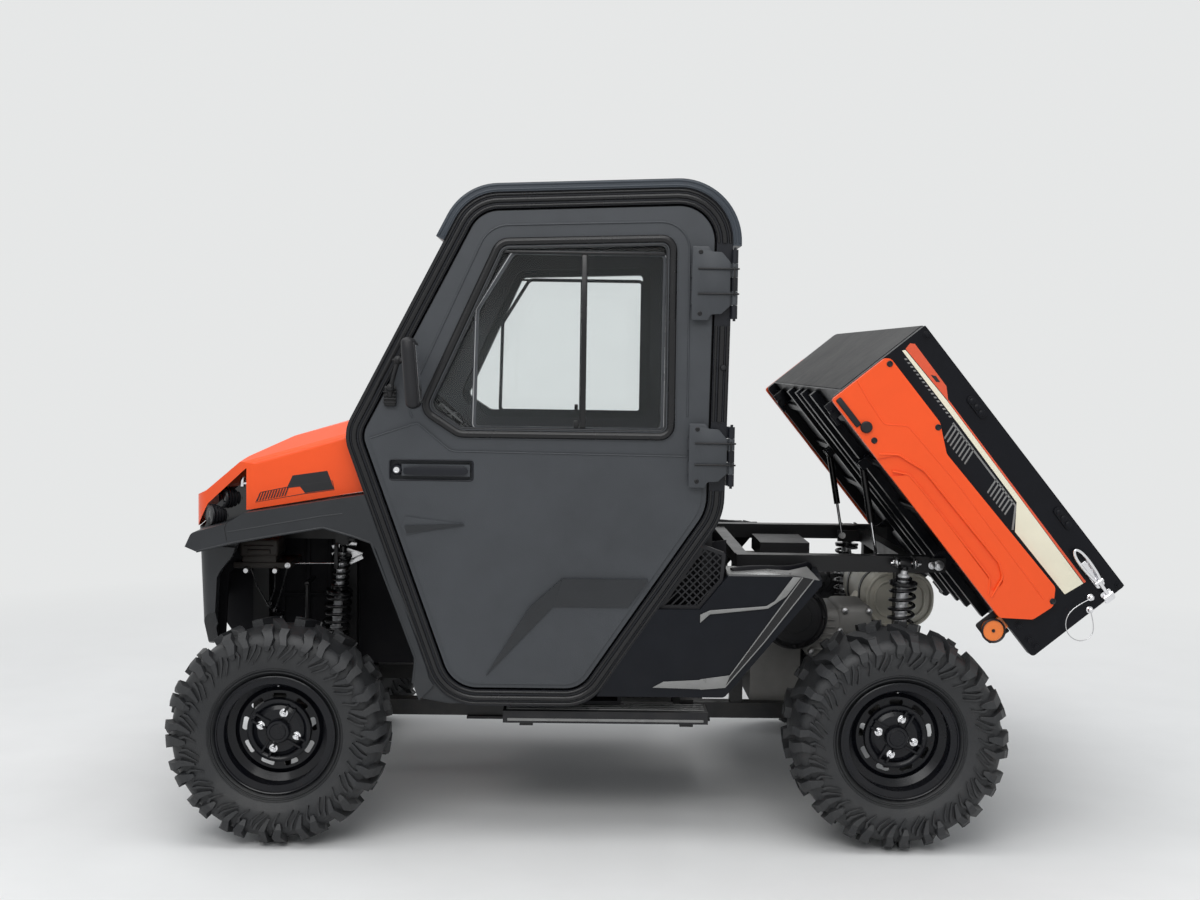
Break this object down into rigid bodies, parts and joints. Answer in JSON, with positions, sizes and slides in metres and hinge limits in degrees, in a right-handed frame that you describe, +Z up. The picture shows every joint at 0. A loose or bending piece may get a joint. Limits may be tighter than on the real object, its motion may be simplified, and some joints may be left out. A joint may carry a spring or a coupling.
{
  "type": "side by side utility vehicle",
  "caption": "Two-seat side by side utility vehicle with a closed cab, rear-hinged doors, independent suspension, knobbly tyres and a raised tipping cargo bed.",
  "frame": {"origin": "on the ground, under the middle of the vehicle's overall box", "axes": "-X is forward, -Y is the vehicle's left side, which the picture shows, and +Z is up"},
  "size_m": [2.7942, 1.7938, 1.9284],
  "materials": {
    "frame_black": "satin",
    "steel_dark": "satin",
    "cab_plastic": "textured",
    "ring_black": "semi-gloss",
    "orange": "gloss",
    "black_plastic": "matt",
    "glass": "tinted",
    "seat": "vinyl",
    "bed_black": "satin",
    "tyre": "rubber",
    "rim": "satin",
    "engine": "cast",
    "muffler": "matt",
    "bright": "bright",
    "spring": "satin",
    "cast": "rough",
    "reflector": "gloss",
    "lamp": "gloss"
  },
  "bodies": {
    "chassis": {"frame_rails": "frame_black", "frame_crosses": "frame_black", "frame_uprights": "frame_black", "bed_rails": "frame_black", "bed_crosses": "frame_black", "belly_pan": "steel_dark", "engine_block": "engine", "cvt_cover": "black_plastic", "muffler": "muffler", "air_intake": "black_plastic", "final_drives": "engine", "suspension_arms_front": "frame_black", "suspension_arms_rear": "frame_black", "coilovers_front": "spring", "coilovers_rear": "spring", "drive_shafts": "cast", "rack_housing": "bright", "cab_ring_left": "ring_black", "cab_ring_right": "ring_black", "roof": "cab_plastic", "windscreen": "glass", "cab_floor": "black_plastic", "rear_wall": "black_plastic", "rear_glass": "glass", "dashboard": "black_plastic", "seat_cushion": "seat", "seat_back": "seat", "steering_column": "frame_black", "hood": "orange", "front_fenders": "cab_plastic", "front_mask": "cab_plastic", "lamps": "lamp", "side_panels": "cab_plastic", "vent_grilles": "black_plastic"},
    "knuckle_left": {"knuckle_left": "cast"},
    "knuckle_right": {"knuckle_right": "cast"},
    "wheel_front_left": {"rim_front_left": "rim", "tyre_front_left": "tyre"},
    "wheel_front_right": {"rim_front_right": "rim", "tyre_front_right": "tyre"},
    "wheel_rear_left": {"rim_rear_left": "rim", "tyre_rear_left": "tyre"},
    "wheel_rear_right": {"rim_rear_right": "rim", "tyre_rear_right": "tyre"},
    "rack": {"tie_rods": "bright"},
    "steering_wheel": {"steering_wheel": "black_plastic"},
    "door_left": {"door_left": "cab_plastic", "door_glass_left": "glass", "mirror_left": "black_plastic"},
    "door_right": {"door_right": "cab_plastic", "door_glass_right": "glass", "mirror_right": "black_plastic"},
    "bed": {"bed_tub": "bed_black", "bed_side_panels": "orange", "tail_reflectors": "reflector"},
    "tailgate": {"tailgate": "bed_black"},
    "strut_barrels": {"strut_barrels": "spring"},
    "strut_rods": {"strut_rods": "bright"}
  },
  "joints": [
    {"name": "steer_left", "type": "hinge", "parent": "chassis", "child": "knuckle_left", "pos_m": [-1.054, -0.62, 0.325], "axis": [0, 0, 1], "range_deg": [-30, 30]},
    {"name": "steer_right", "type": "hinge", "parent": "chassis", "child": "knuckle_right", "pos_m": [-1.054, 0.62, 0.325], "axis": [0, 0, 1], "range_deg": [-30, 30]},
    {"name": "spin_front_left", "type": "hinge", "parent": "knuckle_left", "child": "wheel_front_left", "pos_m": [-1.054, -0.682, 0.325], "axis": [0, 1, 0], "continuous": true},
    {"name": "spin_front_right", "type": "hinge", "parent": "knuckle_right", "child": "wheel_front_right", "pos_m": [-1.054, 0.682, 0.325], "axis": [0, 1, 0], "continuous": true},
    {"name": "spin_rear_left", "type": "hinge", "parent": "chassis", "child": "wheel_rear_left", "pos_m": [0.746, -0.658, 0.325], "axis": [0, 1, 0], "continuous": true},
    {"name": "spin_rear_right", "type": "hinge", "parent": "chassis", "child": "wheel_rear_right", "pos_m": [0.746, 0.658, 0.325], "axis": [0, 1, 0], "continuous": true},
    {"name": "rack_slide", "type": "slide", "parent": "chassis", "child": "rack", "axis": [0, 1, 0], "range_m": [-0.0451, 0.0451]},
    {"name": "wheel_turn", "type": "hinge", "parent": "chassis", "child": "steering_wheel", "pos_m": [-0.602, -0.33, 1.232], "axis": [0.6727, 0, 0.7399], "range_deg": [-361, 361]},
    {"name": "door_left_swing", "type": "hinge", "parent": "chassis", "child": "door_left", "pos_m": [0.241, -0.758, 1.39], "axis": [0, 0, 1], "range_deg": [0, 75]},
    {"name": "door_right_swing", "type": "hinge", "parent": "chassis", "child": "door_right", "pos_m": [0.241, 0.758, 1.39], "axis": [0, 0, -1], "range_deg": [0, 75]},
    {"name": "bed_tilt", "type": "hinge", "parent": "chassis", "child": "bed", "pos_m": [0.927, 0, 0.793], "axis": [0, 1, 0], "range_deg": [-51, 0]},
    {"name": "tailgate_drop", "type": "hinge", "parent": "bed", "child": "tailgate", "pos_m": [1.14732, 0, 0.58925], "axis": [0, 1, 0], "range_deg": [0, 90]},
    {"name": "strut_swing", "type": "hinge", "parent": "bed", "child": "strut_barrels", "pos_m": [0.71, 0, 1.096], "axis": [0, 1, 0], "range_deg": [-23.5, 0]},
    {"name": "strut_slide", "type": "slide", "parent": "strut_barrels", "child": "strut_rods", "axis": [0.1729, 0, -0.9849], "range_m": [-0.098, 0]}
  ],
  "couplings": [
    {"joint": "steer_right", "follows": "steer_left", "ratio": 1},
    {"joint": "rack_slide", "follows": "steer_left", "m_per_rad": 0.085944},
    {"joint": "wheel_turn", "follows": "steer_left", "ratio": 12},
    {"joint": "strut_swing", "follows": "bed_tilt", "ratio": 0.456},
    {"joint": "strut_slide", "follows": "bed_tilt", "m_per_rad": 0.1095}
  ]
}
